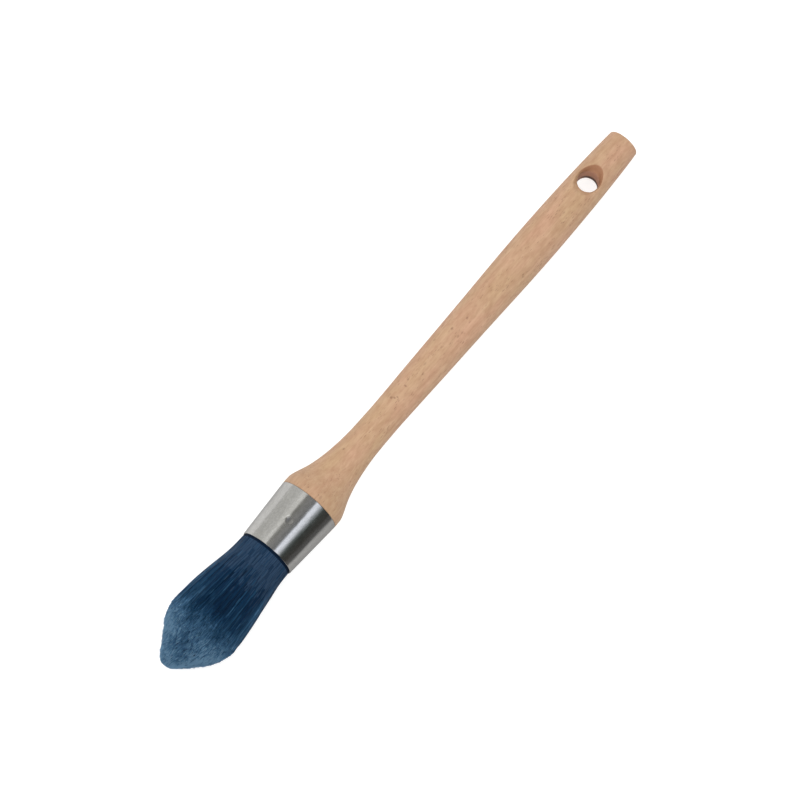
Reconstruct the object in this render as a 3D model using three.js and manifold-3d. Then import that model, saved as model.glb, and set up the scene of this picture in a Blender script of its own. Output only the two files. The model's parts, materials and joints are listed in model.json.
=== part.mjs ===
// Round pointed paint brush: turned beech handle, tapered steel ferrule, resin-set filament bundle.
//
// Every round piece is described along the brush's own axis by u, the distance in millimetres from the filament tip
// towards the butt of the handle, and r, its radius there. The finished brush lies on a level surface as it does on a
// bench: +X runs from the filaments to the butt, +Z is up, the belly of the filaments and the swell of the grip touch
// z = 0, and the origin is at the bottom centre of the whole brush.
import * as THREE from 'three';
import { mergeVertices } from 'three/addons/utils/BufferGeometryUtils.js';
import Module from 'manifold-3d';

const wasm = await Module();
wasm.setup();

// ---------------------------------------------------------------- driving dimensions (mm)

const OVERALL_LENGTH = 265.0; // filament tip to butt
const EXPOSED_FILAMENT = 56.15; // filament tip to ferrule mouth
const FERRULE_LENGTH = 24.1;
const FERRULE_MOUTH_R = 11.14; // outside radius at the filament end
const FERRULE_RIM_R = 12.5; // outside radius at the handle end
const FERRULE_WALL = 0.55;

const BELLY_U = 20.0; // where the filament bundle is fattest
const BELLY_R = 14.55;

const TIP_LEAN = 1.3; // how far the trimmed point stands to one side of the axis
const TIP_LEAN_REACH = 9.5; // the lean has died out this far from the tip

const HOLE_U = 242.8; // hanging hole centre
const HOLE_R = 4.15;
const HOLE_FLARE = 3.2; // how much wider than the bore both mouths open
const HOLE_FLARE_DEPTH = 3.4;
const HOLE_FLARE_POWER = 1.7; // 1 would be a straight countersink
const BUTT_R = 6.28;
const BUTT_EDGE = 0.9; // rounded edge of the butt

const SPIGOT_LENGTH = 14.0; // handle inside the ferrule
const RESIN_LENGTH = 3.6;
const CORE_PLUG_R = 4.2;
const CORE_PLUG_LENGTH = 8.1;

const STAKE_U = 68.4; // centre of the two staking dimples
const STAKE_R = 1.3; // mouth radius of a dimple
const STAKE_DEPTH = 0.5;

const NECK_LENGTH = 18.4; // bundle from the ferrule mouth to the start of the moving head
const GAP = 0.3; // clearance kept between pieces that touch

const SEGMENTS = 48; // facets round every turned piece
const HOLE_SEGMENTS = 32;

const MOUTH_U = EXPOSED_FILAMENT;
const RIM_U = EXPOSED_FILAMENT + FERRULE_LENGTH;

// ---------------------------------------------------------------- turned outlines, [u, r]

const HANDLE_OUTLINE = [
  [80.75, 12.5],
  [82.2, 12.48],
  [83.54, 12.43],
  [84.66, 12.18],
  [85.98, 11.75],
  [87.5, 11.17],
  [89.02, 10.56],
  [91.05, 9.81],
  [93.39, 9.12],
  [96.13, 8.45],
  [99.17, 7.86],
  [102.71, 7.32],
  [106.76, 6.85],
  [111.31, 6.53],
  [117.38, 6.38],
  [124.44, 6.32],
  [132.51, 6.43],
  [142.57, 6.63],
  [153.62, 6.84],
  [166.65, 7.05],
  [179.65, 7.29],
  [191.63, 7.57],
  [201.59, 7.75],
  [212.52, 7.83],
  [221.94, 7.78],
  [230.36, 7.66],
  [238.28, 7.48],
  [245.68, 7.24],
  [252.1, 6.96],
  [258.01, 6.67],
  [261.95, 6.43],
];

const BUNDLE_OUTLINE = [
  [0.0, 0.0],
  [0.26, 1.45],
  [1.13, 2.95],
  [2.68, 4.75],
  [5.57, 7.0],
  [8.55, 9.3],
  [11.54, 11.32],
  [14.42, 12.98],
  [17.3, 14.13],
  [18.95, 14.48],
  [BELLY_U, BELLY_R],
  [21.41, 14.52],
  [24.7, 14.3],
  [29.22, 13.98],
  [33.73, 13.45],
  [38.14, 12.85],
  [42.54, 12.15],
  [47.04, 11.47],
  [51.54, 10.97],
  [54.6, 10.8],
  [55.75, 10.4],
];

// Lying down, the brush rests on the belly and on the swell of the grip beside the hanging hole, so its axis dips
// towards the butt by the slope of the line that touches both.
const GRIP_REACH = 150;
const REST_TILT = Math.min(
  ...HANDLE_OUTLINE.filter(([u]) => u > GRIP_REACH && Math.abs(u - HOLE_U) > HOLE_R + HOLE_FLARE).map(
    ([u, r]) => Math.atan2(BELLY_R - r, u - BELLY_U)
  )
);

// ---------------------------------------------------------------- helpers

const radiusAt = (outline, u) => {
  const i = outline.findIndex(([p]) => p >= u);
  if (i <= 0) return i === 0 ? outline[0][1] : outline[outline.length - 1][1];
  const [u0, r0] = outline[i - 1];
  const [u1, r1] = outline[i];
  return r0 + ((r1 - r0) * (u - u0)) / (u1 - u0);
};

const ferruleOuter = (u) =>
  FERRULE_MOUTH_R + ((FERRULE_RIM_R - FERRULE_MOUTH_R) * (u - MOUTH_U)) / FERRULE_LENGTH;
const ferruleInner = (u) => ferruleOuter(u) - FERRULE_WALL;
const insideFerrule = (u) => ferruleInner(u) - GAP;

// A solid of revolution about the +X axis from [u, r] points. A facet, not an edge, faces straight down.
function turned(points, segments = SEGMENTS) {
  const geometry = new THREE.LatheGeometry(
    points.map(([u, r]) => new THREE.Vector2(r, u)),
    segments
  );
  geometry.rotateY(Math.PI / segments);
  geometry.rotateZ(-Math.PI / 2);
  return welded(geometry);
}

// One vertex per place and no degenerate triangles.
function welded(geometry) {
  geometry.deleteAttribute('normal');
  geometry.deleteAttribute('uv');
  const merged = mergeVertices(geometry, 1e-5);
  const index = merged.getIndex().array;
  const kept = [];
  for (let i = 0; i < index.length; i += 3) {
    const [a, b, c] = [index[i], index[i + 1], index[i + 2]];
    if (a !== b && b !== c && c !== a) kept.push(a, b, c);
  }
  merged.setIndex(kept);
  return merged;
}

function toSolid(geometry) {
  const flip = signedVolume(geometry) < 0;
  const index = Uint32Array.from(geometry.getIndex().array);
  if (flip) {
    for (let i = 0; i < index.length; i += 3) [index[i], index[i + 1]] = [index[i + 1], index[i]];
  }
  return new wasm.Manifold(
    new wasm.Mesh({
      numProp: 3,
      vertProperties: Float32Array.from(geometry.getAttribute('position').array),
      triVerts: index,
    })
  );
}

function toGeometry(solid) {
  const mesh = solid.getMesh();
  const geometry = new THREE.BufferGeometry();
  geometry.setAttribute('position', new THREE.BufferAttribute(Float32Array.from(mesh.vertProperties), 3));
  geometry.setIndex(Array.from(mesh.triVerts));
  return geometry;
}

function signedVolume(geometry) {
  const p = geometry.getAttribute('position');
  const index = geometry.getIndex().array;
  const a = new THREE.Vector3();
  const b = new THREE.Vector3();
  const c = new THREE.Vector3();
  let total = 0;
  for (let i = 0; i < index.length; i += 3) {
    a.fromBufferAttribute(p, index[i]);
    b.fromBufferAttribute(p, index[i + 1]);
    c.fromBufferAttribute(p, index[i + 2]);
    total += a.dot(b.cross(c)) / 6;
  }
  return total;
}

// Outward-facing copy of a turned solid.
function outward(geometry) {
  if (signedVolume(geometry) >= 0) return geometry;
  const index = Array.from(geometry.getIndex().array);
  for (let i = 0; i < index.length; i += 3) [index[i], index[i + 1]] = [index[i + 1], index[i]];
  geometry.setIndex(index);
  return geometry;
}

// A solid of revolution about the local z direction at station u, from [height, r] points.
function across(points, u, segments) {
  const geometry = new THREE.LatheGeometry(
    points.map(([z, r]) => new THREE.Vector2(r, z)),
    segments
  );
  geometry.rotateX(Math.PI / 2);
  geometry.translate(u, 0, 0);
  return welded(geometry);
}

// A staking dimple's cone, pointing at the axis, on the top (side = 1) or the bottom (side = -1) of the ferrule.
// grow is how much thicker the cone is than the dent itself, measured square to its face.
function stakeCone(side, grow) {
  const surface = ferruleOuter(STAKE_U);
  const slope = STAKE_DEPTH / STAKE_R;
  const lift = grow * Math.sqrt(1 + slope * slope); // the cone's shift along its axis for a shell of thickness grow
  const tip = surface - STAKE_DEPTH - lift;
  const top = surface + 0.6;
  const wide = (top - tip) / slope;
  const points = [
    [tip, 0],
    [tip + 0.18, 0.18 / slope],
    [top, wide],
    [top, 0],
  ];
  const geometry = across(points, STAKE_U, 20);
  if (side < 0) geometry.rotateX(Math.PI);
  return toSolid(geometry);
}

// ---------------------------------------------------------------- handle

const shoulderU = RIM_U + GAP;
const spigotEndU = RIM_U - SPIGOT_LENGTH;

const handleBlank = turned([
  [spigotEndU, 0],
  [spigotEndU, insideFerrule(spigotEndU) - 1.0],
  [spigotEndU + 1.0, insideFerrule(spigotEndU + 1.0)],
  [shoulderU, insideFerrule(RIM_U)],
  [shoulderU, FERRULE_RIM_R - 0.35],
  [shoulderU + 0.12, FERRULE_RIM_R - 0.1],
  ...HANDLE_OUTLINE,
  [OVERALL_LENGTH - BUTT_EDGE, BUTT_R],
  [OVERALL_LENGTH - BUTT_EDGE * 0.38, BUTT_R - BUTT_EDGE * 0.22],
  [OVERALL_LENGTH, BUTT_R - BUTT_EDGE],
  [OVERALL_LENGTH, 0],
]);

// The hanging hole: a straight bore whose two mouths flare open.
const handleRAtHole = radiusAt(HANDLE_OUTLINE, HOLE_U);
const flareStart = handleRAtHole - HOLE_FLARE_DEPTH;
const mouth = [];
for (let k = 0; k <= 5; k++) {
  mouth.push([flareStart + (HOLE_FLARE_DEPTH * k) / 5, HOLE_R + HOLE_FLARE * Math.pow(k / 5, HOLE_FLARE_POWER)]);
}
const [lastZ, lastR] = mouth[mouth.length - 1];
mouth.push([lastZ + 1.5, lastR + 2.5]);
const holeCutter = across(
  [
    [-mouth[mouth.length - 1][0], 0],
    ...[...mouth].reverse().map(([z, r]) => [-z, r]),
    ...mouth,
    [mouth[mouth.length - 1][0], 0],
  ],
  HOLE_U,
  HOLE_SEGMENTS
);

let handleSolid = toSolid(handleBlank).subtract(toSolid(holeCutter));
for (const side of [1, -1]) handleSolid = handleSolid.subtract(stakeCone(side, FERRULE_WALL + GAP));

// ---------------------------------------------------------------- ferrule

const ferruleTube = turned([
  [MOUTH_U + 0.18, ferruleInner(MOUTH_U) - 0.05],
  [MOUTH_U, ferruleOuter(MOUTH_U) - 0.32],
  [MOUTH_U + 0.12, ferruleOuter(MOUTH_U) - 0.06],
  [MOUTH_U + 0.55, ferruleOuter(MOUTH_U + 0.55)],
  [MOUTH_U + 8, ferruleOuter(MOUTH_U + 8)],
  [MOUTH_U + 16, ferruleOuter(MOUTH_U + 16)],
  [RIM_U - 0.2, ferruleOuter(RIM_U)],
  [RIM_U, ferruleOuter(RIM_U) - 0.18],
  [RIM_U, ferruleInner(RIM_U)],
  [MOUTH_U + 16, ferruleInner(MOUTH_U + 16)],
  [MOUTH_U + 8, ferruleInner(MOUTH_U + 8)],
  [MOUTH_U + 0.18, ferruleInner(MOUTH_U) - 0.05],
]);

let ferruleSolid = toSolid(ferruleTube);
// The dent's metal stands in towards the handle, then the dent itself is pressed out of it.
const barrel = toSolid(
  turned([
    [MOUTH_U + 1, 0],
    [MOUTH_U + 1, ferruleOuter(MOUTH_U + 1) - 0.2],
    [RIM_U - 1, ferruleOuter(RIM_U - 1) - 0.2],
    [RIM_U - 1, 0],
  ])
);
for (const side of [1, -1]) {
  ferruleSolid = ferruleSolid.add(stakeCone(side, FERRULE_WALL).intersect(barrel));
}
for (const side of [1, -1]) ferruleSolid = ferruleSolid.subtract(stakeCone(side, 0));

// ---------------------------------------------------------------- inside the ferrule

const resinEndU = spigotEndU - GAP;
const resinStartU = resinEndU - RESIN_LENGTH;
const plugEndU = resinEndU;
const plugStartU = plugEndU - CORE_PLUG_LENGTH;

const settingResin = turned([
  [resinStartU, CORE_PLUG_R + GAP],
  [resinStartU, insideFerrule(resinStartU)],
  [resinEndU, insideFerrule(resinEndU)],
  [resinEndU, CORE_PLUG_R + GAP],
  [resinStartU, CORE_PLUG_R + GAP],
]);

const corePlug = turned([
  [plugStartU, 0],
  [plugStartU, CORE_PLUG_R - 1.6],
  [plugStartU + 2.2, CORE_PLUG_R - 0.35],
  [plugStartU + 3.4, CORE_PLUG_R],
  [plugEndU, CORE_PLUG_R],
  [plugEndU, 0],
]);

const rootsEndU = resinStartU - GAP;
const filamentRoots = turned([
  [MOUTH_U + 0.35, CORE_PLUG_R + GAP],
  [MOUTH_U + 0.35, insideFerrule(MOUTH_U) - 0.15],
  [rootsEndU, insideFerrule(rootsEndU)],
  [rootsEndU, CORE_PLUG_R + GAP],
  [MOUTH_U + 0.35, CORE_PLUG_R + GAP],
]);

// ---------------------------------------------------------------- exposed filament bundle

const headEndU = MOUTH_U - NECK_LENGTH; // the head's face on the neck
const neckStartU = headEndU + GAP;

const filamentHead = turned([
  ...BUNDLE_OUTLINE.filter(([u]) => u < headEndU - 0.5),
  [headEndU, radiusAt(BUNDLE_OUTLINE, headEndU)],
  [headEndU, 0],
]);
{
  // The point is trimmed a little to one side.
  const p = filamentHead.getAttribute('position');
  for (let i = 0; i < p.count; i++) {
    const t = Math.max(0, 1 - p.getX(i) / TIP_LEAN_REACH);
    p.setY(i, p.getY(i) + TIP_LEAN * t * t);
  }
}

const filamentNeck = turned([
  [neckStartU, 0],
  [neckStartU, radiusAt(BUNDLE_OUTLINE, neckStartU)],
  ...BUNDLE_OUTLINE.filter(([u]) => u > neckStartU + 0.5),
  [BUNDLE_OUTLINE[BUNDLE_OUTLINE.length - 1][0], 0],
]);

// ---------------------------------------------------------------- materials and scene graph

const beech = new THREE.MeshStandardMaterial({ color: 0xcda57f, roughness: 0.62, metalness: 0 });
const nickel = new THREE.MeshStandardMaterial({ color: 0xbfbdb8, roughness: 0.18, metalness: 1 });
const resin = new THREE.MeshStandardMaterial({ color: 0x8a7a55, roughness: 0.35, metalness: 0 });
const plugWood = new THREE.MeshStandardMaterial({ color: 0xb98f63, roughness: 0.7, metalness: 0 });
const navy = new THREE.MeshStandardMaterial({ color: 0x18324f, roughness: 0.5, metalness: 0 });
const slate = new THREE.MeshStandardMaterial({ color: 0x2c4a6c, roughness: 0.5, metalness: 0 });

function piece(name, geometry, material) {
  geometry.computeVertexNormals();
  const mesh = new THREE.Mesh(geometry, material);
  mesh.name = name;
  return mesh;
}

const fixed = new THREE.Group();
fixed.add(
  piece('beech_handle', toGeometry(handleSolid), beech),
  piece('ferrule', toGeometry(ferruleSolid), nickel),
  piece('setting_resin', outward(settingResin), resin),
  piece('core_plug', outward(corePlug), plugWood),
  piece('filament_roots', outward(filamentRoots), navy)
);

const bundle = new THREE.Group();
bundle.add(
  piece('filament_neck', outward(filamentNeck), navy),
  piece('filament_head', outward(filamentHead), slate)
);

const brush = new THREE.Group();
brush.add(fixed, bundle);
brush.rotation.y = REST_TILT;

// Bottom centre of the lying brush to the origin.
brush.updateMatrixWorld(true);
const box = new THREE.Box3().setFromObject(brush, true);
brush.position.set(-(box.min.x + box.max.x) / 2, -(box.min.y + box.max.y) / 2, -box.min.z);
brush.updateMatrixWorld(true);

const assembly = new THREE.Group();
assembly.add(brush);

export default assembly;
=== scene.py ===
# Round pointed paint brush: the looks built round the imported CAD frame.
import json
import math

import bpy
import numpy as np
from mathutils import Matrix, Vector


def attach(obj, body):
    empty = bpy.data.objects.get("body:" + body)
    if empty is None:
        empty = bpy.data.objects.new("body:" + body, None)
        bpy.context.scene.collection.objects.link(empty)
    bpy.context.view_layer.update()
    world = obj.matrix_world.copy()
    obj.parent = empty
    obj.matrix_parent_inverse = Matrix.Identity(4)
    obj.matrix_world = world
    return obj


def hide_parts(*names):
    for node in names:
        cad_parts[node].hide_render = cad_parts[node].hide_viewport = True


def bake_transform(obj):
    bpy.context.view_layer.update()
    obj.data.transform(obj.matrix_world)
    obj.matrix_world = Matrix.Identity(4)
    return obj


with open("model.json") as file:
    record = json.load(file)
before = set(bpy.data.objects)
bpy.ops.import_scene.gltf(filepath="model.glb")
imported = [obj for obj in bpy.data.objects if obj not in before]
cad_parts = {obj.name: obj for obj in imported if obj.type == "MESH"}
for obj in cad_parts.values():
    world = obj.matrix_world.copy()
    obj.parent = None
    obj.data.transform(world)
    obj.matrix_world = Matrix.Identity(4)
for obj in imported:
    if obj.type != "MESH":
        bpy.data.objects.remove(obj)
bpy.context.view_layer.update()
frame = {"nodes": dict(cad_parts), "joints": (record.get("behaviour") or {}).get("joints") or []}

# ------------------------------------------------------------------ the brush's own axes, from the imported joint
# Along the brush: u mm from the filament tip towards the butt. y is the row's +Y, z is along the hanging hole.
PIVOT_U = 46.5
joint = frame["joints"][0]
EZ = Vector(joint["axis"]).normalized()
EY = Vector((0.0, 1.0, 0.0))
EX = EY.cross(EZ).normalized()
PIVOT = Vector(joint["pos_m"])
BASIS = np.array([EX, EY, EZ])


def place(points):
    """Brush coordinates in mm, (n, 3), to the row frame in metres."""
    p = np.asarray(points, float).reshape(-1, 3).copy()
    p[:, 0] -= PIVOT_U
    return (p @ BASIS) / 1000.0 + np.array(PIVOT)


def at(u, y=0.0, z=0.0):
    return Vector(place([(u, y, z)])[0])


# ------------------------------------------------------------------ sizes in mm, as in the CAD
LENGTH = 265.0
MOUTH_U, RIM_U = 56.15, 80.25
MOUTH_R, RIM_R, WALL = 11.14, 12.5, 0.55
HOLE_U, HOLE_R, HOLE_FLARE, HOLE_DEPTH, HOLE_POWER = 242.8, 4.15, 3.2, 3.4, 1.7
STAKE_U, STAKE_R, STAKE_DEPTH = 68.4, 1.3, 0.5
BELLY_U, BELLY_R = 20.0, 14.55
TIP_LEAN, TIP_LEAN_REACH = 1.5, 9.5

HANDLE = [
    (80.75, 12.5), (82.2, 12.48), (83.54, 12.43), (84.66, 12.18), (85.98, 11.75), (87.5, 11.17), (89.02, 10.56),
    (91.05, 9.81), (93.39, 9.12), (96.13, 8.45), (99.17, 7.86), (102.71, 7.32), (106.76, 6.86), (111.31, 6.53),
    (117.38, 6.38), (124.44, 6.32), (132.51, 6.43), (142.57, 6.64), (153.62, 6.84), (166.65, 7.05), (179.65, 7.29),
    (191.63, 7.57), (201.59, 7.75), (212.52, 7.83), (221.94, 7.78), (230.36, 7.66), (238.28, 7.48), (245.68, 7.24),
    (252.1, 6.97), (258.01, 6.67), (261.95, 6.43), (264.1, 6.28),
]
BUNDLE = [
    (0.0, 0.0), (0.26, 1.9), (1.13, 3.2), (2.68, 4.65), (5.57, 6.8), (8.55, 9.1), (11.54, 11.25), (14.42, 12.85),
    (17.3, 13.93), (18.95, 14.3), (20.0, 14.42), (21.41, 14.46), (24.7, 14.38), (29.22, 14.05), (33.73, 13.5), (38.14, 12.9),
    (42.54, 12.22), (47.04, 11.55), (51.54, 11.02), (54.4, 10.92), (55.75, 10.86), (60.0, 10.2),
]


def smooth_curve(points):
    """Monotone cubic through the points (Fritsch-Carlson), as a function of u."""
    x = np.array([p[0] for p in points], float)
    y = np.array([p[1] for p in points], float)
    h = np.diff(x)
    s = np.diff(y) / h
    m = np.zeros(len(x))
    m[0], m[-1] = s[0], s[-1]
    for i in range(1, len(x) - 1):
        if s[i - 1] * s[i] <= 0:
            m[i] = 0
        else:
            w1, w2 = 2 * h[i] + h[i - 1], h[i] + 2 * h[i - 1]
            m[i] = (w1 + w2) / (w1 / s[i - 1] + w2 / s[i])

    def f(u):
        u = np.clip(np.asarray(u, float), x[0], x[-1])
        i = np.clip(np.searchsorted(x, u) - 1, 0, len(x) - 2)
        t = (u - x[i]) / h[i]
        return (
            (2 * t**3 - 3 * t**2 + 1) * y[i]
            + (t**3 - 2 * t**2 + t) * h[i] * m[i]
            + (-2 * t**3 + 3 * t**2) * y[i + 1]
            + (t**3 - t**2) * h[i] * m[i + 1]
        )

    return f


handle_r = smooth_curve(HANDLE)
bundle_r = smooth_curve(BUNDLE)


def ferrule_r(u):
    return MOUTH_R + (RIM_R - MOUTH_R) * (np.asarray(u, float) - MOUTH_U) / (RIM_U - MOUTH_U)


def smoothstep(a, b, x):
    t = np.clip((np.asarray(x, float) - a) / (b - a), 0, 1)
    return t * t * (3 - 2 * t)


# ------------------------------------------------------------------ mesh helpers
def mesh_object(name, verts, faces, smooth=True, material_index=None):
    """verts in brush millimetres; faces an (n, 3) or (n, 4) integer array, or a list of both."""
    me = bpy.data.meshes.new(name)
    v = place(verts)
    me.vertices.add(len(v))
    me.vertices.foreach_set("co", v.astype(np.float32).ravel())
    if isinstance(faces, list):
        loops = np.concatenate([np.asarray(f, np.int32).ravel() for f in faces])
        sizes = np.concatenate([np.full(len(f), np.asarray(f).shape[1], np.int32) for f in faces])
    else:
        loops = np.asarray(faces, np.int32).ravel()
        sizes = np.full(len(faces), faces.shape[1], np.int32)
    starts = np.concatenate([[0], np.cumsum(sizes)[:-1]]).astype(np.int32)
    me.loops.add(len(loops))
    me.loops.foreach_set("vertex_index", loops)
    me.polygons.add(len(sizes))
    me.polygons.foreach_set("loop_start", starts)
    me.polygons.foreach_set("use_smooth", np.full(len(sizes), smooth))
    if material_index is not None:
        me.polygons.foreach_set("material_index", np.asarray(material_index, np.int32))
    me.update(calc_edges=True)
    me.validate()
    ob = bpy.data.objects.new(name, me)
    bpy.context.scene.collection.objects.link(ob)
    return ob


def grid_faces(rows, cols, first=0, wrap=True, flip=False):
    """Quads of a rows x cols grid of vertices, wrapping round in the second direction."""
    c = cols if wrap else cols - 1
    i, j = np.meshgrid(np.arange(rows - 1), np.arange(c), indexing="ij")
    a = i * cols + j
    b = i * cols + (j + 1) % cols
    q = np.stack([a, b, b + cols, a + cols], -1).reshape(-1, 4) + first
    return q[:, ::-1] if flip else q


# ------------------------------------------------------------------ noise in numpy, seeded
def value_noise(seed, x, y, period_y=None):
    """Smooth 2-D value noise in -1..1."""
    rng = np.random.default_rng(seed)
    table = rng.uniform(-1, 1, (256, 256))
    x, y = np.asarray(x, float), np.asarray(y, float)
    xi, yi = np.floor(x).astype(int), np.floor(y).astype(int)
    fx, fy = x - xi, y - yi
    fx, fy = fx * fx * (3 - 2 * fx), fy * fy * (3 - 2 * fy)
    y0, y1 = yi, yi + 1
    if period_y:
        y0, y1 = y0 % period_y, y1 % period_y
    t = lambda a, b: table[a % 256, b % 256]
    return (t(xi, y0) * (1 - fx) + t(xi + 1, y0) * fx) * (1 - fy) + (t(xi, y1) * (1 - fx) + t(xi + 1, y1) * fx) * fy


# ------------------------------------------------------------------ node helpers
class Nodes:
    def __init__(self, name):
        self.mat = bpy.data.materials.new(name)
        self.mat.use_nodes = True
        self.t = self.mat.node_tree
        self.bsdf = self.t.nodes["Principled BSDF"]

    def new(self, kind, **props):
        n = self.t.nodes.new(kind)
        for k, v in props.items():
            setattr(n, k, v)
        return n

    def link(self, a, b):
        self.t.links.new(a, b)

    def coords(self, scale=(1, 1, 1), rotation=(0, 0, 0), location=(0, 0, 0)):
        """Coordinates along the brush: x = u in metres from the pivot, y, z across it."""
        if not hasattr(self, "_base"):
            tc = self.new("ShaderNodeTexCoord")
            m = self.new("ShaderNodeMapping", vector_type="TEXTURE")
            m.inputs["Location"].default_value = PIVOT
            m.inputs["Rotation"].default_value = (0, math.atan2(EZ.x, EZ.z), 0)
            self.link(tc.outputs["Object"], m.inputs["Vector"])
            self._base = m.outputs["Vector"]
        m = self.new("ShaderNodeMapping")
        m.inputs["Scale"].default_value = scale
        m.inputs["Rotation"].default_value = rotation
        m.inputs["Location"].default_value = location
        self.link(self._base, m.inputs["Vector"])
        return m.outputs["Vector"]

    def noise(self, vec, scale, detail=2.0, rough=0.5, distortion=0.0):
        n = self.new("ShaderNodeTexNoise")
        n.inputs["Scale"].default_value = scale
        n.inputs["Detail"].default_value = detail
        n.inputs["Roughness"].default_value = rough
        n.inputs["Distortion"].default_value = distortion
        self.link(vec, n.inputs["Vector"])
        return n.outputs["Fac"]

    def ramp(self, fac, stops, interpolation="LINEAR"):
        n = self.new("ShaderNodeValToRGB")
        n.color_ramp.interpolation = interpolation
        e = n.color_ramp.elements
        while len(e) > 1:
            e.remove(e[-1])
        e[0].position, e[0].color = stops[0][0], rgba(stops[0][1])
        for p, c in stops[1:]:
            x = e.new(p)
            x.color = rgba(c)
        self.link(fac, n.inputs["Fac"])
        return n.outputs["Color"]

    def maprange(self, v, a, b, c, d, smooth=False):
        n = self.new("ShaderNodeMapRange")
        if smooth:
            n.interpolation_type = "SMOOTHSTEP"
        n.inputs["From Min"].default_value = a
        n.inputs["From Max"].default_value = b
        n.inputs["To Min"].default_value = c
        n.inputs["To Max"].default_value = d
        self.link(v, n.inputs["Value"])
        return n.outputs["Result"]

    def math(self, op, a, b=None, clamp=False):
        n = self.new("ShaderNodeMath", operation=op, use_clamp=clamp)
        for i, v in enumerate((a, b)):
            if v is None:
                continue
            if isinstance(v, (int, float)):
                n.inputs[i].default_value = v
            else:
                self.link(v, n.inputs[i])
        return n.outputs[0]

    def mix(self, fac, a, b, blend="MIX"):
        n = self.new("ShaderNodeMix", data_type="RGBA", blend_type=blend)
        for sock, v in ((n.inputs[0], fac), (n.inputs[6], a), (n.inputs[7], b)):
            if isinstance(v, (int, float)):
                sock.default_value = v
            elif isinstance(v, (tuple, list)):
                sock.default_value = rgba(v)
            else:
                self.link(v, sock)
        return n.outputs[2]

    def bump(self, height, strength, distance, normal=None):
        n = self.new("ShaderNodeBump")
        n.inputs["Strength"].default_value = strength
        n.inputs["Distance"].default_value = distance
        self.link(height, n.inputs["Height"])
        if normal is not None:
            self.link(normal, n.inputs["Normal"])
        return n.outputs["Normal"]


def rgba(c):
    if isinstance(c, (int, float)):
        return (c, c, c, 1.0)
    return (*c[:3], 1.0)


def srgb(r, g, b):
    """8-bit sRGB to linear."""
    return tuple((x / 255 / 12.92) if x / 255 <= 0.04045 else ((x / 255 + 0.055) / 1.055) ** 2.4 for x in (r, g, b))


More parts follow.
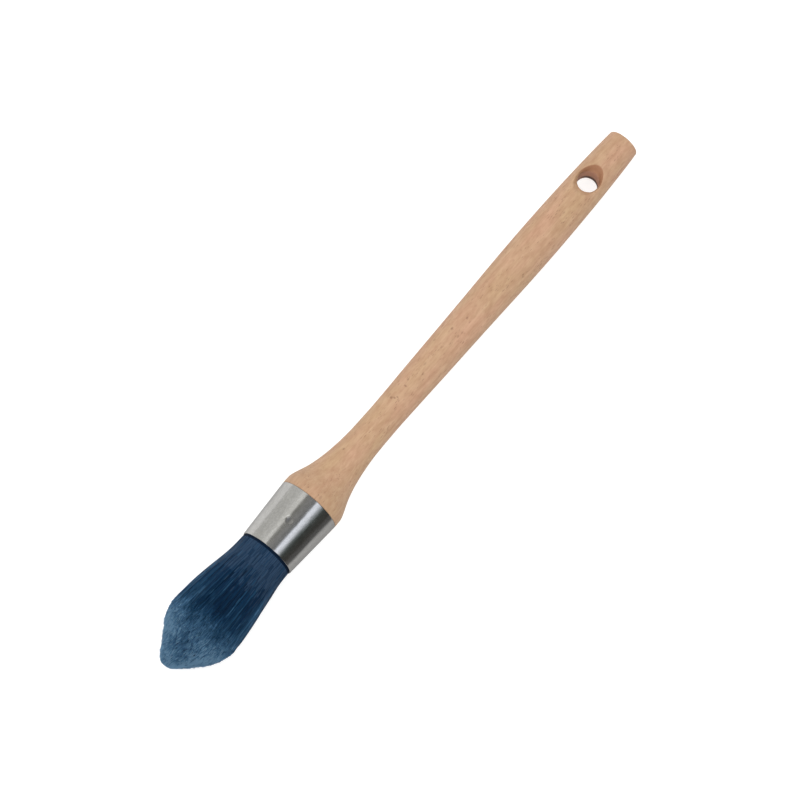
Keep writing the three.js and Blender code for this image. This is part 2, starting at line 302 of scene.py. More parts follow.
# ------------------------------------------------------------------ materials
def beech_material():
    m = Nodes("beech")
    along = m.coords(scale=(1, 1, 1))
    # broad warm and cool patches
    broad = m.noise(m.coords(scale=(45, 130, 130)), 1.0, 3.0, 0.6)
    # growth rings: planes a little off the brush's axis, bent by noise
    bend = m.noise(m.coords(scale=(16, 60, 60), location=(3, 1, 2)), 1.0, 3.0, 0.5)
    sep = m.new("ShaderNodeSeparateXYZ")
    m.link(along, sep.inputs[0])
    ring_pos = m.math("ADD", m.math("MULTIPLY", sep.outputs["Z"], 420.0), m.math("MULTIPLY", sep.outputs["Y"], 150.0))
    ring_pos = m.math("ADD", ring_pos, m.math("MULTIPLY", sep.outputs["X"], 9.0))
    ring_pos = m.math("ADD", ring_pos, m.math("MULTIPLY", bend, 2.6))
    rings = m.math("SINE", m.math("MULTIPLY", ring_pos, 6.2832))
    rings = m.maprange(rings, -1.0, 1.0, 0.0, 1.0, smooth=True)
    # long fibres
    fibre = m.noise(m.coords(scale=(70, 2100, 2100)), 1.0, 4.0, 0.62)
    # medullary ray flecks: short dark dashes along the grain
    fleck_v = m.coords(scale=(430, 2300, 2300), location=(5, 2, 9))
    fleck = m.new("ShaderNodeTexVoronoi", voronoi_dimensions="3D", feature="F1")
    fleck.inputs["Scale"].default_value = 1.0
    fleck.inputs["Randomness"].default_value = 1.0
    m.link(fleck_v, fleck.inputs["Vector"])
    fleck_mask = m.maprange(fleck.outputs["Distance"], 0.12, 0.34, 1.0, 0.0, smooth=True)
    gate = m.maprange(m.noise(m.coords(scale=(130, 500, 500), location=(1, 7, 4)), 1.0, 2.0, 0.6), 0.46, 0.62, 0.0, 1.0, smooth=True)
    fleck_mask = m.math("MULTIPLY", fleck_mask, gate)
    # a few larger brown specks
    speck = m.new("ShaderNodeTexVoronoi", voronoi_dimensions="3D", feature="F1")
    speck.inputs["Scale"].default_value = 1.0
    m.link(m.coords(scale=(62, 120, 120), location=(2.3, 4.1, 1.7)), speck.inputs["Vector"])
    speck_mask = m.maprange(speck.outputs["Distance"], 0.03, 0.07, 0.5, 0.0, smooth=True)
    # and the few dark pith flecks that stand out on the upper side: (u, across, half length, half width) in mm
    for fu, ft, fl, fw in ((129.9, 2.3, 0.8, 0.8), (130.5, 1.3, 0.55, 0.75), (131.4, 0.6, 0.45, 0.6), (136.6, 1.1, 0.5, 0.9), (164.7, 2.0, 0.9, 0.6), (171.4, 0.3, 0.9, 0.5),
                           (139.2, 2.0, 0.8, 0.35), (82.4, 2.8, 0.5, 0.4), (82.5, -1.9, 0.5, 0.35), (103.3, 3.0, 0.8, 0.45),
                           (198.2, -4.7, 0.7, 0.3)):
        d = m.new("ShaderNodeVectorMath", operation="LENGTH")
        fz = math.sqrt(max(float(handle_r(fu)) ** 2 - ft * ft, 0.01))
        m.link(m.coords(scale=(1000 / fl, 1000 / fw, 1000 / (fw * 2)), location=(-(fu - PIVOT_U) / fl, -ft / fw, -fz / (fw * 2))), d.inputs[0])
        speck_mask = m.math("MAXIMUM", speck_mask, m.maprange(d.outputs["Value"], 0.3, 1.0, 1.0, 0.0, smooth=True))

    light = BEECH_LIGHT
    base = m.ramp(broad, [(0.34, BEECH_PINK), (0.5, light), (0.66, BEECH_TAN)])
    base = m.mix(m.math("MULTIPLY", rings, 0.10), base, BEECH_DARK)
    base = m.mix(m.maprange(sep.outputs["X"], (98 - PIVOT_U) / 1000, (84 - PIVOT_U) / 1000, 0.0, 0.42, smooth=True), base, srgb(168, 141, 110))
    mottle = m.noise(m.coords(scale=(240, 700, 700), location=(8, 3, 5)), 1.0, 3.0, 0.6)
    base = m.mix(m.maprange(mottle, 0.35, 0.7, 0.0, 0.46), base, BEECH_DARK)
    base = m.mix(m.maprange(fibre, 0.35, 0.75, 0.0, 0.28), base, BEECH_DARK)
    base = m.mix(m.math("MULTIPLY", fleck_mask, 0.6), base, BEECH_FLECK)
    base = m.mix(m.math("MULTIPLY", speck_mask, 0.5), base, BEECH_FLECK)
    # the wall of the hanging hole, masked by its depth below the turned surface and by its side of the hole
    flat = m.new("ShaderNodeCombineXYZ")
    m.link(sep.outputs["Y"], flat.inputs["Y"])
    m.link(sep.outputs["Z"], flat.inputs["Z"])
    across = m.new("ShaderNodeVectorMath", operation="LENGTH")
    m.link(flat.outputs[0], across.inputs[0])
    slope = float(handle_r(HOLE_U + 8) - handle_r(HOLE_U - 8)) / 16.0
    turned_r = m.math("ADD", m.math("MULTIPLY", sep.outputs["X"], slope), float(handle_r(HOLE_U)) / 1000 - slope * (HOLE_U - PIVOT_U) / 1000)
    below = m.math("SUBTRACT", turned_r, across.outputs["Value"])
    near = m.math("ABSOLUTE", m.math("SUBTRACT", sep.outputs["X"], (HOLE_U - PIVOT_U) / 1000))
    butt_side = m.maprange(sep.outputs["X"], (HOLE_U - PIVOT_U - 1.5) / 1000, (HOLE_U - PIVOT_U + 3.0) / 1000, 0.0, 1.0, smooth=True)
    bore = m.math("MULTIPLY", m.maprange(below, 0.0001, 0.0004, 0.0, 1.0, smooth=True), m.maprange(near, 0.0085, 0.0095, 1.0, 0.0))
    deep = m.math("MULTIPLY", m.maprange(below, 0.0014, 0.0034, 0.0, 1.0, smooth=True), bore)
    # painted shade on the shallow part of the wall on the butt side
    base = m.mix(m.math("MULTIPLY", m.math("MULTIPLY", bore, butt_side), 0.8), base, BEECH_BORE_SHADE)
    # painted light on the deep wall, where little light reaches
    base = m.mix(m.math("MULTIPLY", deep, 0.85), base, srgb(200, 153, 124))
    # painted shade, darker deep in the lower part of the hole on its butt side
    bore_bottom_shade = m.math("MULTIPLY", m.maprange(sep.outputs["Z"], -0.0008, -0.0024, 0.0, 1.0, smooth=True), deep)
    base = m.mix(m.math("MULTIPLY", m.math("MULTIPLY", bore_bottom_shade, butt_side), 0.88), base, srgb(58, 37, 25))
    m.link(base, m.bsdf.inputs["Base Color"])
    rough = m.maprange(fibre, 0.3, 0.7, 0.52, 0.68)
    m.link(rough, m.bsdf.inputs["Roughness"])
    m.bsdf.inputs["Specular IOR Level"].default_value = 0.5
    h = m.math("ADD", m.math("MULTIPLY", fibre, 0.6), m.math("MULTIPLY", fleck_mask, -0.35))
    m.link(m.bump(h, 0.35, 0.00009), m.bsdf.inputs["Normal"])
    return m.mat


BEECH_LIGHT = srgb(189, 155, 125)
BEECH_PINK = srgb(193, 154, 127)
BEECH_TAN = srgb(187, 156, 122)
BEECH_DARK = srgb(150, 108, 78)
BEECH_FLECK = srgb(104, 68, 45)
BEECH_BORE_SHADE = srgb(146, 98, 68)


def metal_material():
    m = Nodes("nickel_plate")
    m.bsdf.inputs["Metallic"].default_value = 1.0
    m.bsdf.inputs["Specular Tint"].default_value = (0.72, 0.72, 0.72, 1.0)
    cloud = m.noise(m.coords(scale=(60, 120, 120)), 1.0, 3.0, 0.55)
    # drawing lines along the sleeve and fine rub marks
    lines = m.noise(m.coords(scale=(90, 2600, 2600)), 1.0, 3.0, 0.6)
    rub = m.noise(m.coords(scale=(900, 700, 700), rotation=(0.3, 0.5, 0.8)), 1.0, 2.0, 0.6)
    colour = m.ramp(cloud, [(0.3, (0.515, 0.508, 0.49)), (0.7, (0.60, 0.593, 0.577))])
    patch = m.noise(m.coords(scale=(750, 1100, 1100), location=(7, 1, 4)), 1.0, 2.0, 0.7)
    colour = m.mix(m.maprange(patch, 0.42, 0.75, 0.0, 0.26), colour, (0.33, 0.325, 0.31))
    colour = m.mix(m.maprange(patch, 0.5, 0.25, 0.0, 0.22), colour, (0.74, 0.735, 0.72))
    # the dimples are rougher, and painted darker as shade in the pits
    pit = m.new("ShaderNodeVectorMath", operation="LENGTH")
    m.link(m.coords(scale=(1000 / 1.7, 1000 / 1.7, 0), location=(-(STAKE_U - PIVOT_U) / 1.7, 0, 0)), pit.inputs[0])
    ragged = m.noise(m.coords(scale=(1900, 1900, 1900)), 1.0, 2.0, 0.6)
    pitted = m.math("ADD", pit.outputs["Value"], m.maprange(ragged, 0.3, 0.7, -0.45, 0.45))
    pitted = m.maprange(pitted, 0.55, 1.15, 1.0, 0.0, smooth=True)
    colour = m.mix(m.math("MULTIPLY", pitted, 0.62), colour, (0.17, 0.165, 0.16))
    # a painted highlight on the rim beside each dimple
    dimple_glint = m.new("ShaderNodeVectorMath", operation="LENGTH")
    m.link(m.coords(scale=(1000 / 0.9, 1000 / 0.75, 0), location=(-(STAKE_U + 0.9 - PIVOT_U) / 0.9, -1.3 / 0.75, 0)), dimple_glint.inputs[0])
    dimple_highlight = m.maprange(m.math("ADD", dimple_glint.outputs["Value"], m.maprange(ragged, 0.3, 0.7, -0.3, 0.3)), 0.5, 1.1, 1.0, 0.0, smooth=True)
    colour = m.mix(m.math("MULTIPLY", dimple_highlight, 0.7), colour, (0.86, 0.855, 0.84))
    m.link(colour, m.bsdf.inputs["Base Color"])
    r = m.math("ADD", m.maprange(cloud, 0.3, 0.7, 0.13, 0.19), m.maprange(lines, 0.35, 0.7, -0.02, 0.035))
    r = m.math("ADD", r, m.maprange(rub, 0.6, 0.8, 0.0, 0.05))
    r = m.math("ADD", r, m.math("MULTIPLY", pitted, 0.22))
    m.link(r, m.bsdf.inputs["Roughness"])
    wave = m.noise(m.coords(scale=(95, 170, 170), location=(4, 2, 7)), 1.0, 2.0, 0.5)
    first = m.bump(wave, 1.0, 0.00009)
    grit = m.noise(m.coords(scale=(620, 900, 900), location=(2, 6, 3)), 1.0, 2.0, 0.6)
    second = m.bump(m.math("ADD", m.math("MULTIPLY", lines, 0.6), m.math("MULTIPLY", grit, 0.8)), 0.6, 0.000015, first)
    m.link(second, m.bsdf.inputs["Normal"])
    return m.mat


def flat_material(name, colour, rough, spec=0.5, metallic=0.0, sheen=0.0):
    m = Nodes(name)
    m.bsdf.inputs["Base Color"].default_value = rgba(colour)
    m.bsdf.inputs["Roughness"].default_value = rough
    m.bsdf.inputs["Specular IOR Level"].default_value = spec
    m.bsdf.inputs["Metallic"].default_value = metallic
    if sheen:
        m.bsdf.inputs["Sheen Weight"].default_value = sheen
        m.bsdf.inputs["Sheen Roughness"].default_value = 0.5
    return m.mat


# ------------------------------------------------------------------ camera, at the photograph's viewing angle
ELONG = math.radians(14.6)  # the butt end leans away from the camera
TURN = math.radians(7.5)  # the camera stands this far round the brush from the hole's axis, towards -Y
REACH = 2.0
P0 = at(132.81)
n_perp = (EZ * math.cos(TURN) - EY * math.sin(TURN)).normalized()
view_out = (n_perp * math.cos(ELONG) - EX * math.sin(ELONG)).normalized()  # from the brush to the camera
e_s = (EX - view_out * EX.dot(view_out)).normalized()
e_t = e_s.cross(view_out).normalized()
RIGHT = e_s * 0.65621585 + e_t * 0.75457323
UP = e_s * 0.75457323 - e_t * 0.65621585
cam_data = bpy.data.cameras.new("camera")
cam = bpy.data.objects.new("camera", cam_data)
bpy.context.scene.collection.objects.link(cam)
rot = Matrix((RIGHT, UP, view_out)).transposed()
cam.matrix_world = Matrix.Translation(P0 + view_out * REACH + e_t * -0.00002) @ rot.to_4x4()
cam_data.sensor_width = 36.0
cam_data.lens = 5428.7 * 36.0 / 800.0
cam_data.clip_start = 0.05
cam_data.clip_end = 50.0
bpy.context.scene.camera = cam

# ------------------------------------------------------------------ floor and light
bpy.ops.mesh.primitive_plane_add(size=8.0, location=(0, 0, -0.00005))
floor = bpy.context.object
floor.name = "floor"
fm = Nodes("floor_light_table")
# A white table top that glows evenly. Shiny things see it dimmer, and darker on the +t side as a painted reflection of
# a black flag that isn't there; lighter on the other side.
fm.bsdf.inputs["Roughness"].default_value = 1.0
fm.bsdf.inputs["Specular IOR Level"].default_value = 0.0
fm.bsdf.inputs["Emission Color"].default_value = (1, 1, 1, 1)
f_path = fm.new("ShaderNodeLightPath")
f_tc = fm.new("ShaderNodeTexCoord")
f_sep = fm.new("ShaderNodeSeparateXYZ")
fm.link(f_tc.outputs["Object"], f_sep.inputs[0])
reflected_floor_tone = fm.maprange(f_sep.outputs["Y"], -0.042, -0.085, 0.74, 0.13, smooth=True)
reflected_floor_tone = fm.math("ADD", reflected_floor_tone, fm.maprange(f_sep.outputs["Y"], 0.0, 0.04, 0.0, 0.52, smooth=True))
gloss_e = fm.math("MULTIPLY", reflected_floor_tone, 0.36)
gloss_a = fm.math("MULTIPLY", reflected_floor_tone, 0.30)
is_gloss = f_path.outputs["Is Glossy Ray"]
not_gloss = fm.math("SUBTRACT", 1.0, is_gloss)
emit = fm.math("ADD", fm.math("MULTIPLY", is_gloss, gloss_e), fm.math("MULTIPLY", not_gloss, 0.72))
albedo = fm.math("ADD", fm.math("MULTIPLY", is_gloss, gloss_a), fm.math("MULTIPLY", not_gloss, 0.46))
comb = fm.new("ShaderNodeCombineColor")
for k in range(3):
    fm.link(albedo, comb.inputs[k])
fm.link(comb.outputs[0], fm.bsdf.inputs["Base Color"])
fm.link(emit, fm.bsdf.inputs["Emission Strength"])
floor.data.materials.append(fm.mat)

scene = bpy.context.scene
scene.view_settings.view_transform = "Standard"
scene.view_settings.look = "None"
scene.view_settings.exposure = 0.0
scene.view_settings.gamma = 1.0

world = bpy.data.worlds.new("studio")
scene.world = world
world.use_nodes = True
wt = world.node_tree
for n in list(wt.nodes):
    wt.nodes.remove(n)
w_out = wt.nodes.new("ShaderNodeOutputWorld")
w_mix = wt.nodes.new("ShaderNodeMixShader")
w_path = wt.nodes.new("ShaderNodeLightPath")
w_soft = wt.nodes.new("ShaderNodeBackground")
w_tent = wt.nodes.new("ShaderNodeBackground")
w_soft.inputs["Color"].default_value = (1.0, 0.995, 0.985, 1)
w_soft.inputs["Strength"].default_value = 0.84
# What shiny things see: a light tent with a dark gap, a lamp strip and a dark side, laid out round the brush's axis.
tc = wt.nodes.new("ShaderNodeTexCoord")


def w_dot(v):
    n = wt.nodes.new("ShaderNodeVectorMath")
    n.operation = "DOT_PRODUCT"
    wt.links.new(tc.outputs["Generated"], n.inputs[0])
    n.inputs[1].default_value = v
    return n.outputs["Value"]


t_dir = EX.cross(n_perp).normalized()
atan = wt.nodes.new("ShaderNodeMath")
atan.operation = "ARCTAN2"
wt.links.new(w_dot(t_dir), atan.inputs[0])
wt.links.new(w_dot(n_perp), atan.inputs[1])
mapped = wt.nodes.new("ShaderNodeMapRange")
mapped.inputs["From Min"].default_value = -math.pi
mapped.inputs["From Max"].default_value = math.pi
wt.links.new(atan.outputs[0], mapped.inputs["Value"])
tent = wt.nodes.new("ShaderNodeValToRGB")
TENT = [
    (-180, (0.70, 0.70, 0.69)),
    (-98, (0.74, 0.74, 0.73)),
    (-84, (0.69, 0.69, 0.67)),
    (-60, (0.70, 0.70, 0.68)),
    (-46, (0.76, 0.76, 0.74)),
    (-38, (0.94, 0.94, 0.92)),
    (-29, (0.94, 0.94, 0.92)),
    (-24, (0.29, 0.29, 0.272)),
    (-8, (0.33, 0.33, 0.33)),
    (6, (0.25, 0.255, 0.26)),
    (13.5, (0.24, 0.25, 0.26)),
    (17.5, (1.30, 1.36, 1.52)),
    (29, (1.12, 1.18, 1.30)),
    (35.5, (0.60, 0.64, 0.70)),
    (43, (0.18, 0.21, 0.215)),
    (51, (0.052, 0.06, 0.056)),
    (76, (0.048, 0.046, 0.042)),
    (90, (0.14, 0.14, 0.135)),
    (104, (0.5, 0.5, 0.49)),
    (180, (0.70, 0.70, 0.69)),
]
e = tent.color_ramp.elements
while len(e) > 1:
    e.remove(e[-1])
e[0].position, e[0].color = 0.0, rgba(TENT[0][1])
for deg, c in TENT[1:]:
    x = e.new((deg + 180) / 360)
    x.color = rgba(c)
wt.links.new(mapped.outputs["Result"], tent.inputs["Fac"])
wt.links.new(tent.outputs["Color"], w_tent.inputs["Color"])
w_tent.inputs["Strength"].default_value = 1.0
wt.links.new(w_path.outputs["Is Glossy Ray"], w_mix.inputs["Fac"])
wt.links.new(w_soft.outputs[0], w_mix.inputs[1])
wt.links.new(w_tent.outputs[0], w_mix.inputs[2])
wt.links.new(w_mix.outputs[0], w_out.inputs["Surface"])


def area_light(name, place_, target, size, watts, colour=(1, 1, 1)):
    data = bpy.data.lights.new(name, "AREA")
    data.shape = "DISK"
    data.size = size
    data.energy = watts
    data.color = colour
    ob = bpy.data.objects.new(name, data)
    scene.collection.objects.link(ob)
    ob.location = place_
    ob.rotation_euler = (Vector(target) - Vector(place_)).to_track_quat("-Z", "Y").to_euler()
    ob.visible_glossy = False
    return ob


# One big soft lamp straight above the brush, a little towards the upper left.
key_dir = (EZ * 1.0 + EY * 0.09 - EX * 0.1).normalized()
area_light("key", P0 + key_dir * 2.6, P0, 2.8, 43.0, (1.0, 0.99, 0.975))

# ------------------------------------------------------------------ handle, with its hanging hole
HALF = 64  # steps in half a turn
TURN_STEPS = 2 * HALF


def ring(u, r, steps=TURN_STEPS):
    """A ring of points round the axis; angle runs from +z towards +y."""
    a = 2 * np.pi * np.arange(steps) / steps
    u = np.broadcast_to(u, a.shape)
    return np.stack([u, r * np.sin(a), r * np.cos(a)], -1)


def handle_sdf(p):
    """Rounded intersection of the turned handle with the outside of the flared hole, in mm; negative inside."""
    r = handle_r(p[:, 0])
    slope = (handle_r(p[:, 0] + 0.05) - handle_r(p[:, 0] - 0.05)) / 0.1
    a = (np.hypot(p[:, 1], p[:, 2]) - r) / np.sqrt(1 + slope**2)
    f = np.maximum((np.abs(p[:, 2]) - (handle_r(HOLE_U) - HOLE_DEPTH)) / HOLE_DEPTH, 0)
    bore = HOLE_R + HOLE_FLARE * f**HOLE_POWER
    grow = HOLE_FLARE / HOLE_DEPTH * HOLE_POWER * f ** (HOLE_POWER - 1)
    b = -(np.hypot(p[:, 0] - HOLE_U, p[:, 1]) - bore) / np.sqrt(1 + grow**2)
    k = 0.3
    ka, kb = np.maximum(k + a, 0), np.maximum(k + b, 0)
    return np.minimum(-k, np.maximum(a, b)) + np.hypot(ka, kb)


def settle(p, steps=10):
    """Moves points onto the surface of handle_sdf."""
    p = p.copy()
    h = 1e-3
    for _ in range(steps):
        f = handle_sdf(p)
        g = np.stack([(handle_sdf(p + d) - handle_sdf(p - d)) / (2 * h) for d in np.eye(3) * h], -1)
        g2 = np.maximum((g * g).sum(1), 0.05)
        step = (f / g2)[:, None] * g
        n = np.linalg.norm(step, axis=1, keepdims=True)
        p -= step * np.minimum(1, 0.5 / np.maximum(n, 1e-9))
    return p


def build_handle():
    w1, w2 = HOLE_U - 10.4, HOLE_U + 10.4
    verts, faces = [], []
    count = 0

    def add(points):
        nonlocal count
        first = count
        verts.append(np.asarray(points, float))
        count += len(points)
        return first

    # spigot end, spigot, shoulder and the long grip up to the hole
    rows = [(RIM_U - 14.0, 0.6), (RIM_U - 14.0, 9.6)]
    rows += [(RIM_U - 13.0, 10.6), (RIM_U + 0.03, 11.5)]
    edge = 0.3
    rows += [(RIM_U + 0.03, 11.7)]
    for k in range(7):
        t = k / 6 * math.pi / 2
        rows.append((RIM_U + 0.03 + edge * (1 - math.cos(t)), 12.5 - edge + edge * math.sin(t)))
    us = np.unique(np.concatenate([np.linspace(80.75, 100.0, 34), np.linspace(100.0, w1, 100)]))
    rows += [(u, float(handle_r(u))) for u in us]
    first = add(np.concatenate([ring(u, r) for u, r in rows]))
    faces.append(grid_faces(len(rows), TURN_STEPS, first))
    cap = add([(rows[0][0], 0, 0)])
    j = np.arange(TURN_STEPS)
    faces.append(np.stack([np.full(TURN_STEPS, cap), first + (j + 1) % TURN_STEPS, first + j], -1))
    last_row = first + (len(rows) - 1) * TURN_STEPS

    # butt part
    brows = [(u, float(handle_r(u))) for u in np.linspace(w2, LENGTH - 1.0, 14)]
    r_end = float(handle_r(LENGTH - 0.9))
    edge = 0.9
    for k in range(1, 9):
        t = k / 8 * math.pi / 2
        brows.append((LENGTH - edge + edge * math.sin(t), r_end - edge + edge * math.cos(t)))
    brows += [(LENGTH, 4.0), (LENGTH, 2.0), (LENGTH, 0.5)]
    bfirst = add(np.concatenate([ring(u, r) for u, r in brows]))
    faces.append(grid_faces(len(brows), TURN_STEPS, bfirst))
    bcap = add([(LENGTH, 0, 0)])
    blast = bfirst + (len(brows) - 1) * TURN_STEPS
    faces.append(np.stack([np.full(TURN_STEPS, bcap), blast + j, blast + (j + 1) % TURN_STEPS], -1))

    # hole zone: two patches, top (z > 0) and bottom, each a frame of cells round the mouth
    side_steps = 24
    side_us = np.linspace(w1, w2, side_steps + 1)
    # side lines at angle +-90 degrees, shared by both patches
    inner_us = side_us[1:-1]
    line = {}
    for s in (1, -1):
        pts = np.stack([inner_us, s * handle_r(inner_us), np.zeros(len(inner_us))], -1)
        line[s] = add(pts)

    rows_out = 22
    mouths = {}
    for top in (1, -1):
        # outer loop indices: along ring w1 from angle -90 to +90, side +, ring w2 back, side -
        ang = np.arange(-HALF // 2, HALF // 2 + 1)
        if top == 1:
            idx1 = [last_row + a % TURN_STEPS for a in ang]
            idx2 = [bfirst + a % TURN_STEPS for a in ang]
        else:
            idx1 = [last_row + (HALF - a) % TURN_STEPS for a in ang]
            idx2 = [bfirst + (HALF - a) % TURN_STEPS for a in ang]
        loop = list(idx1)  # y from - to +
        loop += [line[1] + k for k in range(len(inner_us))]
        loop += list(idx2[::-1])
        loop += [line[-1] + k for k in range(len(inner_us))][::-1]
        all_v = np.concatenate(verts)
        outer = all_v[loop]
        r_mid = handle_r(outer[:, 0])
        b_out = np.arcsin(np.clip(outer[:, 1] / r_mid, -1, 1)) * r_mid
        a_out = outer[:, 0] - HOLE_U
        alpha = np.arctan2(b_out, a_out)
        # mouth start: the bore's circle, evened out a little
        xi, yi = HOLE_R * np.cos(alpha), HOLE_R * np.sin(alpha)
        rr = handle_r(HOLE_U + xi)
        bi = np.arcsin(np.clip(yi / rr, -1, 1)) * rr
        grid = []
        for k in range(rows_out):
            t = (k / rows_out) ** 1.5
            a_ = xi + (a_out - xi) * t
            b_ = bi + (b_out - bi) * t
            u_ = HOLE_U + a_
            r_ = handle_r(u_)
            phi = b_ / r_
            grid.append(np.stack([u_, r_ * np.sin(phi), top * r_ * np.cos(phi)], -1))
        n = len(loop)
        grid = np.stack(grid)
        flat = settle(grid.reshape(-1, 3))
        g0 = add(flat)
        for k in range(rows_out - 1):
            a0, a1 = g0 + k * n, g0 + (k + 1) * n
            q = np.stack([a0 + np.arange(n), a0 + (np.arange(n) + 1) % n, a1 + (np.arange(n) + 1) % n, a1 + np.arange(n)], -1)
            faces.append(q if top == -1 else q[:, ::-1])
        a1 = np.array(loop)
        a0 = g0 + (rows_out - 1) * n + np.arange(n)
        q = np.stack([a0, np.roll(a0, -1), np.roll(a1, -1), a1], -1)
        faces.append(q if top == -1 else q[:, ::-1])
        mouths[top] = (g0, flat[:n], n)

    # bore wall between the two mouths
    (t0, tp, n), (b0, bp, _) = mouths[1], mouths[-1]
    wall_rows = 26
    mid = []
    for k in range(1, wall_rows):
        f = k / wall_rows
        mid.append(tp * (1 - f) + bp * f)
    m0 = add(settle(np.concatenate(mid)))
    seq = [t0 + np.arange(n)] + [m0 + k * n + np.arange(n) for k in range(wall_rows - 1)] + [b0 + np.arange(n)]
    for a0, a1 in zip(seq[:-1], seq[1:]):
        faces.append(np.stack([a0, np.roll(a0, -1), np.roll(a1, -1), a1], -1))

    v = np.concatenate(verts)
    ob = mesh_object("handle_turned", v, faces)
    return ob


handle = build_handle()
import bmesh

bm = bmesh.new()
bm.from_mesh(handle.data)
bmesh.ops.recalc_face_normals(bm, faces=bm.faces)
bm.to_mesh(handle.data)
print("handle open edges", sum(1 for x in bm.edges if len(x.link_faces) != 2), "faces", len(bm.faces))
bm.free()
handle.data.materials.append(beech_material())
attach(handle, "handle")
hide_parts("beech_handle")


# ------------------------------------------------------------------ ferrule
def build_ferrule():
    steps = 240
    a = 2 * np.pi * np.arange(steps) / steps

    def dents(u, r):
        """Radius change of the two staking dimples, round a ring at u."""
        d = np.zeros(steps)
        for centre in (0.0, math.pi):
            da = (a - centre + math.pi) % (2 * math.pi) - math.pi
            q = np.hypot(u - STAKE_U, da * r)
            pit = 0.6 * STAKE_DEPTH * 0.5 * (1 + np.cos(np.pi * np.clip(q / (STAKE_R * 1.25), 0, 1)))
            lip = 0.02 * np.exp(-(((q - STAKE_R * 1.3) / 0.35) ** 2))
            dish = 0.05 * np.exp(-((q / 2.6) ** 2))
            d += -pit + lip - dish
        return d

    outer_u = np.unique(
        np.concatenate(
            [
                np.linspace(MOUTH_U + 0.6, STAKE_U - 3.4, 22),
                np.linspace(STAKE_U - 3.4, STAKE_U + 3.4, 54),
                np.linspace(STAKE_U + 3.4, RIM_U - 0.35, 12),
            ]
        )
    )
    rows = []  # (u, radii)
    # rolled mouth edge: from the inner wall round to the outer wall
    c_u, c_r = MOUTH_U + WALL / 2, ferrule_r(MOUTH_U) - WALL / 2
    for k in range(9):
        t = math.pi * k / 8
        rows.append((c_u - WALL / 2 * math.sin(t), np.full(steps, c_r - WALL / 2 * math.cos(t))))
    for u in outer_u:
        r = float(ferrule_r(u))
        # a shallow pressed line near each end, as the drawing die leaves
        groove = -0.05 * math.exp(-(((u - (MOUTH_U + 1.5)) / 0.35) ** 2)) - 0.04 * math.exp(-(((u - (RIM_U - 1.3)) / 0.3) ** 2))
        rows.append((u, r + groove + dents(u, r)))
    c_u, c_r = RIM_U - 0.18, ferrule_r(RIM_U) - 0.18
    for k in range(1, 6):
        t = math.pi / 2 * k / 5
        rows.append((c_u + 0.18 * math.sin(t), np.full(steps, c_r + 0.18 * math.cos(t))))
    rows.append((RIM_U, np.full(steps, ferrule_r(RIM_U) - WALL)))
    inner = []
    for u in outer_u[::-1]:
        r = float(ferrule_r(u))
        q = dents(u, r)
        inner.append((u, r - WALL + np.minimum(q, 0)))
    rows += inner
    v = np.concatenate([np.stack([np.full(steps, u), r * np.sin(a), r * np.cos(a)], -1) for u, r in rows])
    f = grid_faces(len(rows), steps)
    n = len(rows)
    j = np.arange(steps)
    close = np.stack([(n - 1) * steps + j, (n - 1) * steps + (j + 1) % steps, (j + 1) % steps, j], -1)
    ob = mesh_object("ferrule_sleeve", v, [f, close])
    return ob


ferrule = build_ferrule()
bm = bmesh.new()
bm.from_mesh(ferrule.data)
bmesh.ops.recalc_face_normals(bm, faces=bm.faces)
bm.to_mesh(ferrule.data)
bm.free()
ferrule.data.materials.append(metal_material())
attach(ferrule, "handle")
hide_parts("ferrule")

# ------------------------------------------------------------------ filaments
BEND_START, BEND_END = at(MOUTH_U), at(28.0)


def flow(u):
    """Radius of the outermost flow line: the outline from the mouth to the belly, then a gentle closing in."""
    u = np.asarray(u, float)
    past = np.clip((BELLY_U - u) / BELLY_U, 0, 1)
    return np.where(u >= BELLY_U, bundle_r(u), BELLY_R * (1 - 0.24 * past**1.6))


def lean(u):
    """How far the bundle's middle stands to +y: the point is trimmed a little to one side."""
    return TIP_LEAN * np.clip(1 - np.asarray(u, float) / TIP_LEAN_REACH, 0, 1) ** 1.15


def tubes(name, centre, radius, sides, slots, seed):
    """centre: (n, k, 3) points of each filament, radius: (n, k), slots: (n, k-1) material index of each stretch."""
    rng = np.random.default_rng(seed)
    n, k, _ = centre.shape
    tangent = np.gradient(centre, axis=1)
    tangent /= np.linalg.norm(tangent, axis=2, keepdims=True)
    ref = np.array([0.0, 0.0, 1.0]) + rng.normal(0, 0.6, (n, 1, 3))
    side = np.cross(tangent, np.broadcast_to(ref, tangent.shape))
    side /= np.linalg.norm(side, axis=2, keepdims=True)
    other = np.cross(tangent, side)
    a = 2 * np.pi * np.arange(sides) / sides
    v = centre[:, :, None, :] + radius[:, :, None, None] * (
        np.cos(a)[None, None, :, None] * side[:, :, None, :] + np.sin(a)[None, None, :, None] * other[:, :, None, :]
    )
    v = v.reshape(-1, 3)
    base = (np.arange(n) * k * sides)[:, None, None]
    row = (np.arange(k - 1) * sides)[None, :, None]
    j = np.arange(sides)[None, None, :]
    j2 = (j + 1) % sides
    q = np.stack([base + row + j, base + row + j2, base + row + sides + j2, base + row + sides + j], -1).reshape(-1, 4)
    qm = np.repeat(slots.reshape(-1), sides)
    ends = []
    b = base[:, 0, 0]
    if sides == 3:
        ends.append(np.stack([b + 2, b + 1, b], -1))
        t = b + (k - 1) * sides
        ends.append(np.stack([t, t + 1, t + 2], -1))
    else:
        ends.append(np.stack([b + 3, b + 2, b + 1, b], -1))
        t = b + (k - 1) * sides
        ends.append(np.stack([t, t + 1, t + 2, t + 3], -1))
    em = np.concatenate([slots[:, 0], slots[:, -1]])
    return mesh_object(name, v, [q, *ends], True, np.concatenate([qm, em]))


